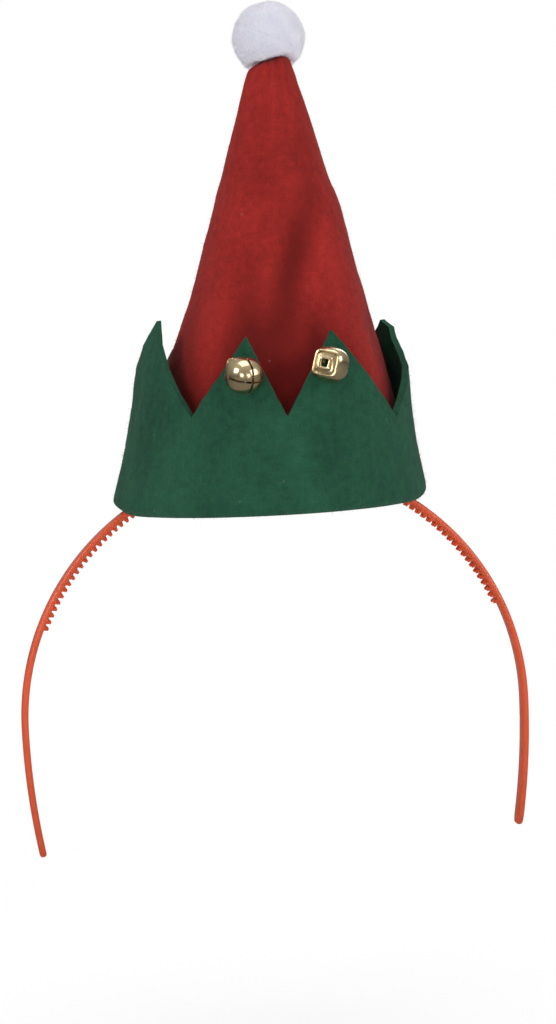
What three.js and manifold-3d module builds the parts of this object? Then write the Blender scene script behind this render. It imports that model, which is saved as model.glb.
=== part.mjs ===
// An elf headband: a comb headband of moulded plastic that carries a small felt
// hat with a zigzag cuff, two jingle bells and a pompom.
// Millimetres, +Z up. The wearer faces -Y and the crown of the head meets the
// comb at the origin. Angles are in degrees, and angles round the hat start at
// the front and grow towards +X.

import * as THREE from 'three';
import { mergeVertices } from 'three/addons/utils/BufferGeometryUtils.js';
import Module from 'manifold-3d';

const wasm = await Module();
wasm.setup();

// How far the pompom's seat clears the cone, and how far a cutter passes a face
const SEAT_GAP = 0.5;
const CUT_MARGIN = 1;

// Headband: a round arch over the crown, with arms that curve in below the temples
const BAND_RADIUS = 73;
const BAND_WIDTH = 6.5;
const BAND_THICKNESS = 2;
const BAND_EDGE = 0.9;
const ARM_RADIUS = 210;
const ARM_LENGTH = 37;
const ARM_STEPS = 6;
const SHOULDER_STEPS = 4;
const TIP_BLUNT = 0.2;
const TIP_ROUNDING = [0, 0.15, 0.45, 1];

// Comb: two rows of pointed teeth, side by side on the inner face
const COMB_HEIGHT = 1.1;
const COMB_PITCH = 2.05;
const COMB_REACH = 67;
const COMB_ROW_Y = 2;
const COMB_LANE_Y = 0.7;

// Cone of the hat
const CONE_WALL = 1.5;
const CONE_COLUMNS = 44;
const CONE_HEM_Z = -7.6;
const CONE_SECTIONS = [
  { z: CONE_HEM_Z, radius: 41.8, shift: 1.2, flatten: 0 },
  { z: 0, radius: 39.6, shift: 2.0, flatten: 0 },
  { z: 8, radius: 37.3, shift: 2.8, flatten: 0 },
  { z: 17, radius: 34.6, shift: 3.8, flatten: 0 },
  { z: 26, radius: 32.0, shift: 4.7, flatten: 0 },
  { z: 35, radius: 29.4, shift: 5.4, flatten: 0 },
  { z: 45, radius: 26.4, shift: 5.9, flatten: 0 },
  { z: 55, radius: 23.4, shift: 6.2, flatten: 0 },
  { z: 65, radius: 20.5, shift: 6.4, flatten: 0 },
  { z: 74, radius: 17.9, shift: 6.6, flatten: 0.02 },
  { z: 82, radius: 15.5, shift: 6.8, flatten: 0.04 },
  { z: 93, radius: 12.2, shift: 7.0, flatten: 0.08 },
  { z: 105, radius: 8.7, shift: 7.1, flatten: 0.12 },
  { z: 113.5, radius: 6.3, shift: 7.0, flatten: 0.15 },
];
// The tip closes in a low dome that rises to one side
const CONE_DOME = [
  { rise: 1.3, narrow: 0.88 },
  { rise: 2.2, narrow: 0.55 },
];
const CONE_TIP_SLANT = 0.28;

// The cone's main crease: it climbs the front and hooks round to a kink on one side
const CREASE = [
  { z: 4, angle: -4, width: 16, depth: 0 },
  { z: 20, angle: -4, width: 15, depth: 1.6 },
  { z: 42, angle: -7, width: 14, depth: 2.3 },
  { z: 53, angle: 1, width: 16, depth: 2.5 },
  { z: 63, angle: 10, width: 18, depth: 2.5 },
  { z: 72, angle: 26, width: 24, depth: 2.2 },
  { z: 79, angle: 54, width: 30, depth: 1.5 },
  { z: 84, angle: 70, width: 30, depth: 0 },
];
// Softer folds and swells: each runs up the cloth with its middle at a height,
// turns by a drift for each millimetre of rise, and is pressed in where its
// depth is negative
const CONE_FOLDS = {
  frontRidge: { angle: 40, drift: 0.3, z: 56, reach: 40, width: 24, depth: 0.9 },
  kinkSwell: { angle: 84, drift: 0, z: 73, reach: 9, width: 42, depth: 1.0 },
  leftSwell: { angle: -92, drift: 0, z: 27, reach: 17, width: 50, depth: 1.8 },
  leftFold: { angle: -28, drift: 0.1, z: 42, reach: 36, width: 15, depth: -1.2 },
  leftRidge: { angle: -55, drift: 0.1, z: 30, reach: 34, width: 16, depth: 1.1 },
  rightFold: { angle: 72, drift: 0, z: 38, reach: 24, width: 24, depth: -1.5 },
  rearFold: { angle: 142, drift: -0.2, z: 34, reach: 44, width: 20, depth: -2.2 },
  rearRidge: { angle: 172, drift: -0.2, z: 40, reach: 40, width: 18, depth: 1.0 },
  farFold: { angle: 222, drift: 0.2, z: 26, reach: 34, width: 18, depth: -1.8 },
};

// Cuff: a felt wall that stands off the cone, folded under the cone's hem
const CUFF_WALL = 2;
const CUFF_TIP_WALL = 1.4;
const CUFF_HEM_Z = -10;
const CUFF_FOLD_Z = -7.2;
const CUFF_LIP_INNER = 41;
const CUFF_LIP_Z = -8;
const CUFF_LIP_RISE = 0.4;
const CUFF_FOLD_TURNS = [35, 65, 90];
const CUFF_SHIFT = 0.8;
const CUFF_LEAN = 0.065;
const CUFF_ROWS = 6;
const CUFF_LEAN_FROM = 17;
const CUFF_SECTIONS = [
  { z: CUFF_FOLD_Z, radius: 44.8 },
  { z: -0.8, radius: 43.4 },
  { z: 4.4, radius: 42.2 },
  { z: 11.2, radius: 41.1 },
  { z: 17, radius: 40.2 },
  { z: 23, radius: 39.7 },
  { z: 30, radius: 39.4 },
];
// A row for each tooth: where its tip stands, the notch that follows it, how
// far the tip leans in, how late the lean starts, a kink on the way up, how round
// the tip is (1 is a straight point) and the sections on each flank
const CUFF_TEETH = [
  { tip: -74.5, z: 44, notch: -39.8, notchZ: 17.4, lean: 4.5, late: 2.4, kink: 0, round: 1, steps: 4 },
  { tip: -17.4, z: 38.9, notch: 0, notchZ: 16.6, lean: 0.6, late: 2, kink: 0, round: 1, steps: 4 },
  { tip: 18.4, z: 39.5, notch: 53.4, notchZ: 14.2, lean: 0.6, late: 2, kink: 0, round: 1, steps: 4 },
  { tip: 108, z: 41, notch: 140, notchZ: 17, lean: 3.5, late: 3, kink: 2.5, round: 1.25, steps: 7 },
  { tip: 166, z: 41, notch: 191, notchZ: 17.6, lean: 1.6, late: 2, kink: 0, round: 1, steps: 3 },
  { tip: 216, z: 40.5, notch: 242, notchZ: 17.2, lean: 1.5, late: 2, kink: 0, round: 1, steps: 3 },
];
const KINK_AT = 0.7;
const KINK_WIDTH = 0.16;
// The hem rides up where the headband passes under it
const HEM_LIFTS = [
  { angle: -90, lift: 1.6, width: 20 },
  { angle: 90, lift: 0.8, width: 20 },
];
const HEM_LIFT_FADE = 16;

// Bells: stamped shells with crossed slots at one end and a square shank at the other
const BELL_RADIUS = 5;
const BELL_WALL = 0.5;
const BELL_SQUARENESS = 2.3;
const BELL_SLOT = 0.6;
const BELL_SLOT_FROM = 0.4;
const BELL_AROUND = 16;
const BELL_UP = 10;
const SHANK_WIDTH = 3.4;
const SHANK_HOLE = 1.7;
const SHANK_HEIGHT = 0.9;
const SHANK_ROOT = 0.95;
const PELLET_RADIUS = 1.3;
const PELLET_PLAY = 0.65;
const PELLET_AROUND = 10;
const PELLET_UP = 6;
// Where each bell hangs on the cuff, how far its middle stands off the felt,
// which way its slotted end points (towards +X, away from the hat and up) and
// its turn about that line
const BELLS = [
  { side: 'left', angle: -15.8, z: 28.5, standOff: 6.15, points: [0.34, -0.87, -0.36], turn: 21 },
  { side: 'right', angle: 14.4, z: 30.2, standOff: 5.5, points: [0.42, 0.89, -0.16], turn: -12 },
];

// Pompom: locks of yarn round a core, seated behind and on the cone's tip
const POMPOM_RADIUS = 11.2;
const POMPOM_CORE = 9.9;
const POMPOM_AROUND = 12;
const POMPOM_UP = 8;
const POMPOM_CENTRE = [7.5, 3.6, 122.1];
const SEAT_SECTIONS = 4;
const LOCK_COUNT = 34;
const LOCK_RADIUS = 2.9;
const LOCK_SIDES = 5;
const LOCK_UNEVEN = 0.5;
const LOCK_CROWN = 0.6;
const LOCK_DOME = 0.12;
// How the unevenness changes from lock to lock, round the ball and up it
const LOCK_WAVES_ROUND = 2.3;
const LOCK_WAVES_UP = 70;

// Colours and finishes
const FINISHES = {
  plastic: { color: 0xd65a38, roughness: 0.35, metalness: 0 },
  redFelt: { color: 0x92282a, roughness: 0.95, metalness: 0 },
  greenFelt: { color: 0x265840, roughness: 0.95, metalness: 0 },
  yarn: { color: 0xe2e4ec, roughness: 0.95, metalness: 0 },
  brass: { color: 0xcdb080, roughness: 0.25, metalness: 1 },
  steel: { color: 0x9a9a98, roughness: 0.3, metalness: 1 },
};

const sin = (degrees) => Math.sin(THREE.MathUtils.degToRad(degrees));
const cos = (degrees) => Math.cos(THREE.MathUtils.degToRad(degrees));

// A smooth hump that is 1 at 0 and ends at 1 on either side
function hump(t) {
  const inside = Math.min(1, Math.abs(t));
  return Math.cos(inside * Math.PI / 2) ** 2;
}

// The difference of two angles, between -180 and 180
function turnBetween(from, to) {
  return THREE.MathUtils.euclideanModulo(to - from + 180, 360) - 180;
}

// A column of a table read at a height, straight between its rows
function column(rows, name, z) {
  const last = rows.length - 1;
  const above = rows.findIndex((row) => row.z > z);
  if (above === 0) return rows[0][name];
  if (above < 0) return rows[last][name];
  const low = rows[above - 1];
  const high = rows[above];
  return THREE.MathUtils.mapLinear(z, low.z, high.z, low[name], high[name]);
}

// A closed surface through rings of points that each have the same count. It
// runs from ring to ring and either meets itself or closes each end on its middle.
function skin(rings, meetsItself) {
  const count = rings[0].length;
  const points = rings.flat();
  const index = [];
  const corner = (ring, i) => (ring % rings.length) * count + i % count;
  const spans = meetsItself ? rings.length : rings.length - 1;
  for (let ring = 0; ring < spans; ring += 1) {
    for (let i = 0; i < count; i += 1) {
      const a = corner(ring, i);
      const b = corner(ring, i + 1);
      const c = corner(ring + 1, i + 1);
      const d = corner(ring + 1, i);
      index.push(a, b, c, a, c, d);
    }
  }
  if (!meetsItself) {
    for (const [ring, flip] of [[0, true], [rings.length - 1, false]]) {
      const middle = new THREE.Vector3();
      for (const point of rings[ring]) middle.addScaledVector(point, 1 / count);
      const pole = points.push(middle) - 1;
      for (let i = 0; i < count; i += 1) {
        const edge = [corner(ring, i), corner(ring, i + 1)];
        if (flip) edge.reverse();
        index.push(...edge, pole);
      }
    }
  }
  const geometry = new THREE.BufferGeometry().setFromPoints(points);
  geometry.setIndex(index);
  return facingOut(geometry);
}

// Turns a closed surface right side out
function facingOut(geometry) {
  const position = geometry.getAttribute('position');
  const index = geometry.getIndex();
  const [a, b, c] = [new THREE.Vector3(), new THREE.Vector3(), new THREE.Vector3()];
  let volume = 0;
  for (let i = 0; i < index.count; i += 3) {
    a.fromBufferAttribute(position, index.getX(i));
    b.fromBufferAttribute(position, index.getX(i + 1));
    c.fromBufferAttribute(position, index.getX(i + 2));
    volume += a.dot(b.cross(c));
  }
  if (volume < 0) index.array.reverse();
  geometry.computeVertexNormals();
  return geometry;
}

// Solids for joining and cutting
function toSolid(geometry) {
  const bare = geometry.clone();
  bare.deleteAttribute('normal');
  bare.deleteAttribute('uv');
  const merged = mergeVertices(bare, 1e-4);
  return new wasm.Manifold(new wasm.Mesh({
    numProp: 3,
    vertProperties: new Float32Array(merged.getAttribute('position').array),
    triVerts: new Uint32Array(merged.getIndex().array),
  }));
}

function toGeometry(solid) {
  const mesh = solid.getMesh();
  const geometry = new THREE.BufferGeometry();
  geometry.setAttribute('position', new THREE.BufferAttribute(mesh.vertProperties, 3));
  geometry.setIndex(new THREE.BufferAttribute(mesh.triVerts, 1));
  geometry.computeVertexNormals();
  return geometry;
}

// Headband
const BAND_CENTRE_Z = BAND_THICKNESS + COMB_HEIGHT - BAND_RADIUS;
const ARM_TURN = THREE.MathUtils.radToDeg(Math.asin(ARM_LENGTH / ARM_RADIUS));

// A point of the band's section where its outer face looks `turn` away from up
function bandPoint(turn, y, depth) {
  const onArm = Math.abs(turn) > 90;
  const radius = (onArm ? ARM_RADIUS : BAND_RADIUS) - depth;
  const centreX = onArm ? Math.sign(turn) * (BAND_RADIUS - ARM_RADIUS) : 0;
  return new THREE.Vector3(centreX + radius * sin(turn), y, BAND_CENTRE_Z + radius * cos(turn));
}

// One section, with the comb's two rows raised by a height and the width narrowed
// to a round end at the arm's tip
function bandSection(turn, tooth) {
  const fromTip = (90 + ARM_TURN - Math.abs(turn)) / ARM_TURN * ARM_LENGTH;
  const roundness = Math.min(1, fromTip / (BAND_WIDTH / 2));
  const narrow = THREE.MathUtils.lerp(Math.sqrt(1 - (1 - roundness) ** 2), 1, TIP_BLUNT);
  const half = BAND_WIDTH / 2 * narrow;
  const outer = half - BAND_EDGE * narrow;
  const row = COMB_ROW_Y * narrow;
  const lane = COMB_LANE_Y * narrow;
  const inner = BAND_THICKNESS;
  return [
    bandPoint(turn, -outer, 0),
    bandPoint(turn, outer, 0),
    bandPoint(turn, half, inner / 2),
    bandPoint(turn, row, inner + tooth),
    bandPoint(turn, lane, inner),
    bandPoint(turn, -lane, inner),
    bandPoint(turn, -row, inner + tooth),
    bandPoint(turn, -half, inner / 2),
  ];
}

function headband() {
  const innerRadius = BAND_RADIUS - BAND_THICKNESS;
  const pitchTurn = THREE.MathUtils.radToDeg(COMB_PITCH / innerRadius);
  const teeth = Math.round(2 * COMB_REACH / pitchTurn);
  const arm = [];
  for (const part of TIP_ROUNDING) {
    arm.push(90 + ARM_TURN * (1 - part * BAND_WIDTH / 2 / ARM_LENGTH));
  }
  for (let i = 1; i <= ARM_STEPS; i += 1) {
    const along = THREE.MathUtils.lerp(BAND_WIDTH / 2, ARM_LENGTH, i / (ARM_STEPS + 1));
    arm.push(90 + ARM_TURN * (1 - along / ARM_LENGTH));
  }
  for (let i = 0; i < SHOULDER_STEPS; i += 1) {
    arm.push(THREE.MathUtils.lerp(90, COMB_REACH + pitchTurn, i / SHOULDER_STEPS));
  }
  const rings = arm.map((turn) => bandSection(-turn, 0));
  for (let i = 0; i <= 2 * teeth; i += 1) {
    const turn = COMB_REACH * (i / teeth - 1);
    rings.push(bandSection(turn, i % 2 ? COMB_HEIGHT : 0));
  }
  rings.push(...arm.reverse().map((turn) => bandSection(turn, 0)));
  return skin(rings, false);
}

// How far the hem is lifted at an angle, fading with the height above it
function hemLift(angle, rise) {
  const fade = Math.max(0, 1 - rise / HEM_LIFT_FADE);
  let lift = 0;
  for (const row of HEM_LIFTS) {
    lift += row.lift * hump(turnBetween(row.angle, angle) / row.width);
  }
  return lift * fade;
}

// How far the cone's cloth stands out of its plain taper
function coneSwell(angle, z) {
  const creaseTurn = turnBetween(column(CREASE, 'angle', z), angle);
  let swell = -column(CREASE, 'depth', z) * hump(creaseTurn / column(CREASE, 'width', z));
  for (const fold of Object.values(CONE_FOLDS)) {
    const middle = fold.angle + fold.drift * (z - fold.z);
    const across = hump(turnBetween(middle, angle) / fold.width);
    swell += fold.depth * across * hump((z - fold.z) / fold.reach);
  }
  return swell;
}

// Cone: a point of the cloth at an angle and height, set in by a depth
function conePoint(angle, z, depth) {
  const radius = column(CONE_SECTIONS, 'radius', z) + coneSwell(angle, z) - depth;
  const flatten = 1 - column(CONE_SECTIONS, 'flatten', z);
  return new THREE.Vector3(
    column(CONE_SECTIONS, 'shift', z) + radius * sin(angle),
    -radius * cos(angle) * flatten,
    z + hemLift(angle, z - CONE_HEM_Z),
  );
}

function coneRing(z, depth) {
  const ring = [];
  for (let i = 0; i < CONE_COLUMNS; i += 1) {
    ring.push(conePoint(360 * i / CONE_COLUMNS, z, depth));
  }
  return ring;
}

// The rings that close the tip, from the wall towards the top
function coneDome(depth) {
  const top = CONE_SECTIONS.at(-1);
  const rim = coneRing(top.z, depth);
  return CONE_DOME.map(({ rise, narrow }) => rim.map((point) => new THREE.Vector3(
    top.shift + (point.x - top.shift) * narrow,
    point.y * narrow,
    top.z + rise - depth + CONE_TIP_SLANT * (point.x - top.shift) * narrow,
  )));
}

function cone() {
  const heights = CONE_SECTIONS.map((row) => row.z);
  const outside = heights.map((z) => coneRing(z, 0));
  const inside = heights.map((z) => coneRing(z, CONE_WALL));
  const rings = [
    ...coneDome(CONE_WALL).reverse(),
    ...inside.reverse(),
    ...outside,
    ...coneDome(0),
  ];
  return skin(rings, false);
}

// A solid copy of the cone's upper end, grown by the gap, that seats the pompom
function coneSeat() {
  const heights = CONE_SECTIONS.map((row) => row.z).slice(-SEAT_SECTIONS);
  const rings = heights.map((z) => coneRing(z, -SEAT_GAP));
  return skin([...rings, ...coneDome(-SEAT_GAP)], false);
}

// Cuff: the tooth that an angle belongs to, how far up its flank the angle is,
// and the height of the wall's top edge there
function toothAt(angle) {
  for (const [i, tooth] of CUFF_TEETH.entries()) {
    const before = CUFF_TEETH.at(i - 1);
    const offset = turnBetween(tooth.tip, angle);
    const foot = offset < 0 ? before : tooth;
    const share = offset / turnBetween(tooth.tip, foot.notch);
    if (share >= 0 && share <= 1) {
      const top = THREE.MathUtils.lerp(tooth.z, foot.notchZ, share ** tooth.round);
      return { tooth, climb: 1 - share, top };
    }
  }
  return null;
}

function cuffPoint(angle, z, inside) {
  const { tooth, climb } = toothAt(angle);
  const rise = Math.max(0, (z - CUFF_LEAN_FROM) / (tooth.z - CUFF_LEAN_FROM));
  const lean = tooth.lean * rise ** tooth.late + tooth.kink * hump((rise - KINK_AT) / KINK_WIDTH);
  const wall = THREE.MathUtils.lerp(CUFF_WALL, CUFF_TIP_WALL, rise * climb);
  const radius = column(CUFF_SECTIONS, 'radius', z) - lean - (inside ? wall : 0);
  return cuffPlace(angle, radius, z);
}

function cuffPlace(angle, radius, z) {
  return new THREE.Vector3(
    CUFF_SHIFT + CUFF_LEAN * (z - CUFF_HEM_Z) + radius * sin(angle),
    -radius * cos(angle),
    z + hemLift(angle, z - CUFF_HEM_Z),
  );
}

// The wall's closed section at an angle: down the outside, round the fold,
// under the cone's hem and up the inside
function cuffSection(angle) {
  const { top } = toothAt(angle);
  const heights = [];
  for (let row = 0; row <= CUFF_ROWS; row += 1) {
    heights.push(THREE.MathUtils.lerp(top, CUFF_FOLD_Z, row / CUFF_ROWS));
  }
  const foldDrop = CUFF_FOLD_Z - CUFF_HEM_Z;
  const foldOuter = CUFF_SECTIONS[0].radius;
  const fold = CUFF_FOLD_TURNS.map((turn) => cuffPlace(
    angle,
    foldOuter - foldDrop * (1 - cos(turn)),
    CUFF_FOLD_Z - foldDrop * sin(turn),
  ));
  const lip = [
    cuffPlace(angle, CUFF_LIP_INNER, CUFF_HEM_Z + CUFF_LIP_RISE),
    cuffPlace(angle, CUFF_LIP_INNER, CUFF_LIP_Z),
    cuffPlace(angle, foldOuter - CUFF_WALL, CUFF_LIP_Z),
  ];
  const outside = heights.map((z) => cuffPoint(angle, z, false));
  const inside = heights.slice(0, -1).reverse().map((z) => cuffPoint(angle, z, true));
  return [...outside, ...fold, ...lip, ...inside];
}

function cuff() {
  const sections = [];
  for (const [i, tooth] of CUFF_TEETH.entries()) {
    const before = turnBetween(tooth.tip, CUFF_TEETH.at(i - 1).notch);
    const after = turnBetween(tooth.tip, tooth.notch);
    for (let step = 0; step < tooth.steps; step += 1) {
      sections.push(cuffSection(tooth.tip + before * (1 - step / tooth.steps)));
    }
    for (let step = 0; step < tooth.steps; step += 1) {
      sections.push(cuffSection(tooth.tip + after * step / tooth.steps));
    }
  }
  return skin(sections, true);
}

// Bells: made with the slotted end up, then turned to hang
function squared(geometry) {
  const position = geometry.getAttribute('position');
  const point = new THREE.Vector3();
  for (let i = 0; i < position.count; i += 1) {
    point.fromBufferAttribute(position, i);
    const { x, y } = point.clone().normalize();
    const spread = Math.abs(x) ** BELL_SQUARENESS + Math.abs(y) ** BELL_SQUARENESS;
    const round = (x * x + y * y) ** (BELL_SQUARENESS / 2);
    const swell = round > 0 ? (round / spread) ** (1 / BELL_SQUARENESS) : 1;
    position.setXYZ(i, point.x * swell, point.y * swell, point.z);
  }
  return geometry;
}

function ball(radius, around, up) {
  return new THREE.SphereGeometry(radius, around, up).rotateX(Math.PI / 2);
}

function bell() {
  const reach = 2 * (BELL_RADIUS + CUT_MARGIN);
  const inner = BELL_RADIUS - BELL_WALL;
  const slotDepth = BELL_RADIUS + CUT_MARGIN - BELL_SLOT_FROM;
  const slot = new THREE.BoxGeometry(BELL_SLOT, reach, slotDepth);
  slot.translate(0, 0, BELL_SLOT_FROM + slotDepth / 2);
  const crossSlot = slot.clone().rotateZ(Math.PI / 2);
  const shankDepth = SHANK_HEIGHT + SHANK_ROOT;
  const shankZ = -(BELL_RADIUS + SHANK_HEIGHT - shankDepth / 2);
  const shank = new THREE.BoxGeometry(SHANK_WIDTH, SHANK_WIDTH, shankDepth).translate(0, 0, shankZ);
  const hole = new THREE.BoxGeometry(SHANK_HOLE, SHANK_HOLE, 2 * shankDepth).translate(0, 0, shankZ);
  const solid = toSolid(squared(ball(BELL_RADIUS, BELL_AROUND, BELL_UP)))
    .add(toSolid(shank))
    .subtract(toSolid(squared(ball(inner, BELL_AROUND, BELL_UP))))
    .subtract(toSolid(slot))
    .subtract(toSolid(crossSlot))
    .subtract(toSolid(hole));
  return toGeometry(solid);
}

// Pompom: a core with locks of yarn spread evenly over it
function lock(i) {
  const up = 1 - 2 * (i + 0.5) / LOCK_COUNT;
  const around = i * 180 * (3 - Math.sqrt(5));
  const level = Math.sqrt(1 - up * up);
  const outward = new THREE.Vector3(level * cos(around), level * sin(around), up);
  const wave = sin(around * LOCK_WAVES_ROUND + up * LOCK_WAVES_UP);
  const uneven = LOCK_UNEVEN * (1 + wave) / 2;
  const reach = POMPOM_RADIUS - uneven;
  const profile = [
    [0, POMPOM_CORE - 2 * LOCK_RADIUS],
    [LOCK_RADIUS, POMPOM_CORE - LOCK_RADIUS],
    [LOCK_RADIUS, reach - LOCK_CROWN * LOCK_RADIUS],
    [LOCK_CROWN * LOCK_RADIUS, reach - LOCK_DOME * LOCK_RADIUS],
    [0, reach],
  ].map(([across, along]) => new THREE.Vector2(across, along));
  const tuft = new THREE.LatheGeometry(profile, LOCK_SIDES);
  tuft.applyQuaternion(new THREE.Quaternion().setFromUnitVectors(THREE.Object3D.DEFAULT_UP, outward));
  return tuft;
}

function pompom() {
  let solid = toSolid(ball(POMPOM_CORE, POMPOM_AROUND, POMPOM_UP));
  for (let i = 0; i < LOCK_COUNT; i += 1) solid = solid.add(toSolid(lock(i)));
  const seat = coneSeat().translate(...POMPOM_CENTRE.map((value) => -value));
  return toGeometry(solid.subtract(toSolid(seat)));
}

function piece(name, geometry, finish) {
  const mesh = new THREE.Mesh(geometry, new THREE.MeshStandardMaterial(FINISHES[finish]));
  mesh.name = name;
  return mesh;
}

// A bell and its pellet, in a group at the bell's middle
function hungBell({ side, angle, z, standOff, points, turn }) {
  const group = new THREE.Group();
  const radius = column(CUFF_SECTIONS, 'radius', z) + standOff;
  group.position.copy(cuffPlace(angle, radius, z));
  const shell = piece(`bell_${side}`, bell(), 'brass');
  const upright = new THREE.Vector3(0, 0, 1);
  shell.quaternion.setFromUnitVectors(upright, new THREE.Vector3(...points).normalize());
  shell.rotateZ(THREE.MathUtils.degToRad(turn));
  const pellet = piece(`pellet_${side}`, ball(PELLET_RADIUS, PELLET_AROUND, PELLET_UP), 'steel');
  pellet.position.z = PELLET_RADIUS + BELL_WALL + PELLET_PLAY - BELL_RADIUS;
  group.add(shell, pellet);
  return group;
}

const elfHeadband = new THREE.Group();
elfHeadband.name = 'elf_headband';
elfHeadband.add(piece('headband', headband(), 'plastic'));
elfHeadband.add(piece('cone', cone(), 'redFelt'));
elfHeadband.add(piece('cuff', cuff(), 'greenFelt'));
const tipPompom = piece('pompom', pompom(), 'yarn');
tipPompom.position.set(...POMPOM_CENTRE);
elfHeadband.add(tipPompom);
for (const row of BELLS) elfHeadband.add(hungBell(row));

export default elfHeadband;
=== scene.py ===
"""Dresses the solids of an elf headband in felt, moulded plastic, yarn and plated metal.

Metres, +Z up. The wearer faces -Y and the crown of the head is at the origin.
Angles round the hat start at the front and grow towards +X.
"""

import math

import bmesh
import bpy
import numpy as np
from bpy.props import FloatProperty, FloatVectorProperty, PointerProperty
from bpy.types import Operator, Panel, PropertyGroup
from mathutils import Matrix, Vector, noise
from mathutils.bvhtree import BVHTree


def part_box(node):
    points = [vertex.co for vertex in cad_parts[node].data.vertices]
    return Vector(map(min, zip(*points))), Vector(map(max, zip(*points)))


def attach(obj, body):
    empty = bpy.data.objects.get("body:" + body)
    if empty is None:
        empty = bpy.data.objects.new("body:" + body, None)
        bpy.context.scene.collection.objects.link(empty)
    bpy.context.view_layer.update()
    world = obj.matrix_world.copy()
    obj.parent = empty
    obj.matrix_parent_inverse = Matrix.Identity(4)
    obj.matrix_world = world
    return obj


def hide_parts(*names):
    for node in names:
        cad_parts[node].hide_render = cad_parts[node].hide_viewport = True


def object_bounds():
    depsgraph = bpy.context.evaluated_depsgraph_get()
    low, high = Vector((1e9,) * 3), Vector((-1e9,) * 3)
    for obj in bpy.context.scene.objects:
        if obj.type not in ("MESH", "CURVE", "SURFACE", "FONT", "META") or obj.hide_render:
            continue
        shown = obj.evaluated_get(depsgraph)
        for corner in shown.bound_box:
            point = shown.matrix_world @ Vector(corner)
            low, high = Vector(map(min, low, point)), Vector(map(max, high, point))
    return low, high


bl_info = {
    "name": "Elf Headband",
    "version": (1, 0, 0),
    "blender": (4, 5, 0),
    "location": "View3D > Sidebar > Elf Headband",
    "description": "Makes the felt, plastic, yarn and bells of an elf headband",
    "category": "Object",
}

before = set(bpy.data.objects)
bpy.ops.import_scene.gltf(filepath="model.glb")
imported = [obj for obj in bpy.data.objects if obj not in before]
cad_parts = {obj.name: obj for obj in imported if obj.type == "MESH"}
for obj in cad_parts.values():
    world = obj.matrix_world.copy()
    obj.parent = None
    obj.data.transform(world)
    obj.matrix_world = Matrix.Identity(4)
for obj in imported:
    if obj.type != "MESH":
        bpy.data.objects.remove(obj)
CAD_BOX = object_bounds()
BOXES = {node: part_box(node) for node in ("headband", "cone", "cuff", "pompom")}

# The middle of the hat leans from its hem to its tip
HEM = Vector((sum(corner.x for corner in BOXES["cone"]) / 2, 0, BOXES["cone"][0].z))
TIP = Vector((sum(corner.x for corner in BOXES["pompom"]) / 2, 0, BOXES["cone"][1].z))

# The solids' facets meet within this distance
WELD = 2e-6
# Felt turns by more than this at a cut edge
CUT_ANGLE = math.radians(50)
# Each kind of strand has its own fixed seed
FUZZ_SEED, PILE_SEED = 11, 23
# The seams run up the back, with their stitches beside the groove
BACK = math.pi
STITCH_SIDE = BACK - math.radians(3.5)


# Kinds of setting
def length(name, description, default):
    return FloatProperty(
        name=name, description=description, default=default, unit="LENGTH", precision=5
    )


def turn(name, description, degrees):
    return FloatProperty(
        name=name, description=description, default=math.radians(degrees), unit="ROTATION"
    )


def share(name, description, default):
    return FloatProperty(name=name, description=description, default=default)


def factor(name, description, default):
    return FloatProperty(
        name=name, description=description, default=default, subtype="FACTOR", min=0, max=1
    )


def colour(name, description, default):
    return FloatVectorProperty(
        name=name, description=description, default=default, subtype="COLOR", min=0, max=1
    )


def place(name, description, default):
    return FloatVectorProperty(
        name=name, description=description, default=default, subtype="TRANSLATION", unit="LENGTH"
    )


class BandSettings(PropertyGroup):
    """The moulded headband and its comb"""

    plastic: colour("Plastic", "Colour of the translucent plastic", (0.73, 0.105, 0.033))
    thickness: length("Thickness", "Thickness of the band without its teeth", 0.002)
    arm_radius: length("Arm radius", "Radius that each arm bends in by", 0.210)
    tip_blunt: factor("Tip bluntness", "Share of the width that an arm's end keeps", 0.2)
    roundness: share("Edge roundness", "Power of the section's outline; 2 is an oval", 4.0)
    pitch: length("Tooth pitch", "Distance between teeth along a row", 0.00205)
    tooth_height: length("Tooth height", "How far a tooth stands in from the band", 0.0011)
    tooth_width: length("Tooth width", "Width of a tooth at its root", 0.0019)
    tooth_tip: factor("Tooth tip", "Width of a tooth's tip as a share of its root's", 0.4)
    reach: turn("Comb reach", "How far the comb runs down each side of the arch", 67)
    row_offset: length("Row offset", "Distance of each row from the band's middle", 0.0017)


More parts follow.
